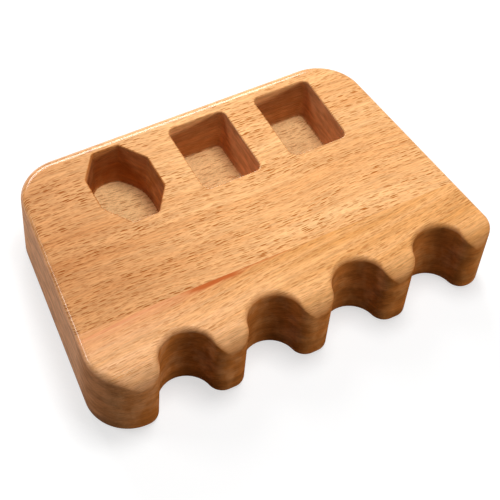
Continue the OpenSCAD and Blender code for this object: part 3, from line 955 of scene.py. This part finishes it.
def rubber(name, colour):
    """Moulded rubber: a fine pebble with slightly worn high spots."""
    nodes = Nodes(name)
    place = nodes.place()
    pebble = nodes.noise(place, (2600, 2600, 2600))
    dust = nodes.noise(place, (220, 220, 220), 3.0, 0.6)
    return nodes.finish(
        Base_Color=nodes.mix(nodes.step(dust, 0.45, 0.75, 0, 0.5), colour,
                             [3.2 * c for c in colour]),
        Roughness=nodes.step(pebble, 0.2, 0.8, 0.55, 0.8),
        Normal=nodes.bump(pebble, PEBBLE_DEPTH, 0.6))


def dress(node, material):
    """Gives a CAD node's object a finish of its own."""
    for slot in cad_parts[node].material_slots:
        slot.material = material


# ---------------------------------------------------------------- operators


class CUEREST_OT_rear_stave(bpy.types.Operator):
    """Build the rear stave with its chalk pockets and underside recesses"""

    bl_idname = "cue_rest.rear_stave"
    bl_label = "Rear stave"

    def execute(self, context):
        scene = context.scene
        plan = Plan(scene.cue_rest_block, scene.cue_rest_notches)
        shell = stave(plan, plan.rear_chain(), pockets(scene.cue_rest_pockets),
                      let_in(scene.cue_rest_underside, ["rear_ballast_bar", "front_ballast_bar"],
                             ["foot_rear_left", "foot_rear_right"]), curved_top=False)
        look = scene.cue_rest_look
        wood = beech("lacquered_beech_rear", look, look.pale, REAR_TINTS, shift=(0, 0, 0),
                     turn=(0, 0, math.radians(1.5)), flecks=1.0, with_streak=False)
        new_piece("rear_stave_beech", shell.mesh("rear_stave_beech"), wood, "rear_stave")
        return {"FINISHED"}


class CUEREST_OT_front_stave(bpy.types.Operator):
    """Build the front stave with its cue notches and fingers"""

    bl_idname = "cue_rest.front_stave"
    bl_label = "Front stave"

    def execute(self, context):
        scene = context.scene
        plan = Plan(scene.cue_rest_block, scene.cue_rest_notches)
        shell = stave(plan, plan.front_chain(), [],
                      let_in(scene.cue_rest_underside, [],
                             ["foot_front_left", "foot_front_right"]), curved_top=True)
        look = scene.cue_rest_look
        wood = beech("lacquered_beech_front", look, look.pink, FRONT_TINTS,
                     shift=(0.31, 0.17, 0.09), turn=(0, 0, math.radians(-5.0)), flecks=0.6,
                     with_streak=True)
        new_piece("front_stave_beech", shell.mesh("front_stave_beech"), wood, "front_stave")
        return {"FINISHED"}


class CUEREST_OT_ballast_bars(bpy.types.Operator):
    """Finish the steel ballast bars"""

    bl_idname = "cue_rest.ballast_bars"
    bl_label = "Ballast bars"

    def execute(self, context):
        steel = brushed_steel("drawn_steel", context.scene.cue_rest_look.steel, 0.34, along=0)
        for node in ("rear_ballast_bar", "front_ballast_bar"):
            dress(node, steel)
        return {"FINISHED"}


class CUEREST_OT_ballast_screws(bpy.types.Operator):
    """Finish the screws that hold the ballast bars"""

    bl_idname = "cue_rest.ballast_screws"
    bl_label = "Ballast screws"

    def execute(self, context):
        zinc = brushed_steel("zinc_plate", context.scene.cue_rest_look.zinc, 0.24, along=2)
        dress("ballast_screws", zinc)
        return {"FINISHED"}


class CUEREST_OT_feet(bpy.types.Operator):
    """Finish the rubber feet"""

    bl_idname = "cue_rest.feet"
    bl_label = "Feet"

    def execute(self, context):
        material = rubber("foot_rubber", context.scene.cue_rest_look.rubber)
        for node in ("foot_rear_left", "foot_rear_right", "foot_front_left",
                     "foot_front_right"):
            dress(node, material)
        return {"FINISHED"}


# Each lamp's azimuth and elevation in degrees, its distance, width and height in metres, and
# whether gloss shows it
LAMPS = {
    "key": (112, 81, 0.60, 0.22, 0.22, False),
    "fill": (-126, 37, 0.8, 0.26, 0.10, True),
    "glint": (171, 30, 0.8, 0.50, 0.20, True),
    "front": (40, 8, 0.8, 0.26, 0.08, False),
}
FLOOR_HALF = 4.0                  # half the floor's width
FLOOR_GREY, FLOOR_GLOW = (0.42, 0.42, 0.42), 0.62


def direction(azimuth, elevation):
    """Unit vector towards an azimuth, measured from the block's front, and an elevation."""
    return Vector((math.sin(azimuth) * math.cos(elevation),
                   -math.cos(azimuth) * math.cos(elevation), math.sin(elevation)))


def area_light(name, power, target, azimuth, elevation, distance, width, height, reflected):
    """A rectangular lamp that faces the target."""
    light = bpy.data.lights.new(name, "AREA")
    light.shape, light.size, light.size_y, light.energy = "RECTANGLE", width, height, power
    lamp = bpy.data.objects.new(name, light)
    towards = direction(math.radians(azimuth), math.radians(elevation))
    lamp.location = target + towards * distance
    lamp.rotation_euler = towards.to_track_quat("Z", "Y").to_euler()
    lamp.visible_glossy = reflected
    bpy.context.scene.collection.objects.link(lamp)


def floor_material(name):
    """Pale floor that reads as white to the camera and in gloss, and still takes the block's
    shadow: its grey and its glow add up to white where the lamps reach it."""
    nodes = Nodes(name)
    path = nodes.add("ShaderNodeLightPath")
    seen = nodes.math("MAXIMUM", path.outputs["Is Camera Ray"], nodes.math(
        "MAXIMUM", path.outputs["Is Glossy Ray"], path.outputs["Is Transmission Ray"]))
    return nodes.finish(
        Base_Color=(*FLOOR_GREY, 1), Roughness=0.9, Specular_IOR_Level=0.0,
        Emission_Color=(1, 1, 1, 1), Emission_Strength=nodes.times(seen, FLOOR_GLOW))


def world_light(strength):
    """Even sky light, which the camera sees as plain white."""
    world = bpy.data.worlds.new("studio")
    bpy.context.scene.world = world
    world.use_nodes = True
    tree = world.node_tree
    back = tree.nodes["Background"]
    back.inputs["Color"].default_value = (1, 1, 1, 1)
    path = tree.nodes.new("ShaderNodeLightPath")
    seen = tree.nodes.new("ShaderNodeMath")
    seen.operation = "MULTIPLY_ADD"
    tree.links.new(path.outputs["Is Camera Ray"], seen.inputs[0])
    seen.inputs[1].default_value = 1.0 - strength
    seen.inputs[2].default_value = strength
    tree.links.new(seen.outputs[0], back.inputs["Strength"])


class CUEREST_OT_stage(bpy.types.Operator):
    """Set up the floor, the lights and the camera"""

    bl_idname = "cue_rest.stage"
    bl_label = "Stage"

    def execute(self, context):
        scene, stage = context.scene, context.scene.cue_rest_stage
        aim = Vector(stage.aim)

        mesh = bpy.data.meshes.new("floor")
        corners = FLOOR_HALF * np.array([(-1, -1, 0), (1, -1, 0), (1, 1, 0), (-1, 1, 0)])
        mesh.from_pydata(corners, [], [(0, 1, 2, 3)])
        mesh.materials.append(floor_material("pale_floor"))
        floor = bpy.data.objects.new("floor", mesh)
        scene.collection.objects.link(floor)

        world_light(stage.sky)
        for name, setting in LAMPS.items():
            area_light(name, getattr(stage, name + "_power"), aim, *setting)

        camera = bpy.data.cameras.new("camera")
        camera.sensor_width, camera.lens = 36, stage.lens
        rig = bpy.data.objects.new("camera", camera)
        towards = direction(stage.azimuth, stage.elevation)
        rig.location = aim + towards * stage.distance
        rig.rotation_euler = (towards.to_track_quat("Z", "Y")
                              @ Quaternion((0, 0, 1), stage.roll)).to_euler()
        scene.collection.objects.link(rig)
        scene.camera = rig
        scene.view_settings.view_transform = "Standard"
        return {"FINISHED"}


class CUEREST_PT_panel(bpy.types.Panel):
    """Lists the cue rest's sizes and colours and the operators that build it"""

    bl_label = "Cue rest"
    bl_idname = "CUEREST_PT_panel"
    bl_space_type = "VIEW_3D"
    bl_region_type = "UI"
    bl_category = "Cue rest"

    def draw(self, context):
        for name, group in GROUPS.items():
            box = self.layout.box()
            box.label(text=group.__doc__)
            for value in group.__annotations__:
                box.prop(getattr(context.scene, name), value)
        for operator in OPERATORS:
            self.layout.operator(operator.bl_idname)


GROUPS = {
    "cue_rest_block": CueRestBlock,
    "cue_rest_notches": CueRestNotches,
    "cue_rest_pockets": CueRestPockets,
    "cue_rest_underside": CueRestUnderside,
    "cue_rest_look": CueRestLook,
    "cue_rest_stage": CueRestStage,
}
OPERATORS = [CUEREST_OT_rear_stave, CUEREST_OT_front_stave, CUEREST_OT_ballast_bars,
             CUEREST_OT_ballast_screws, CUEREST_OT_feet, CUEREST_OT_stage]


def register():
    for cls in [*GROUPS.values(), *OPERATORS, CUEREST_PT_panel]:
        bpy.utils.register_class(cls)
    for name, group in GROUPS.items():
        setattr(bpy.types.Scene, name, PointerProperty(type=group))


def unregister():
    for name in GROUPS:
        delattr(bpy.types.Scene, name)
    for cls in [CUEREST_PT_panel, *OPERATORS[::-1], *list(GROUPS.values())[::-1]]:
        bpy.utils.unregister_class(cls)


def main():
    """Builds and dresses every piece, then sets up the floor, the lights and the camera."""
    register()
    bpy.ops.cue_rest.rear_stave()
    bpy.ops.cue_rest.front_stave()
    bpy.ops.cue_rest.ballast_bars()
    bpy.ops.cue_rest.ballast_screws()
    bpy.ops.cue_rest.feet()
    bpy.ops.cue_rest.stage()


if __name__ == "__main__":
    main()
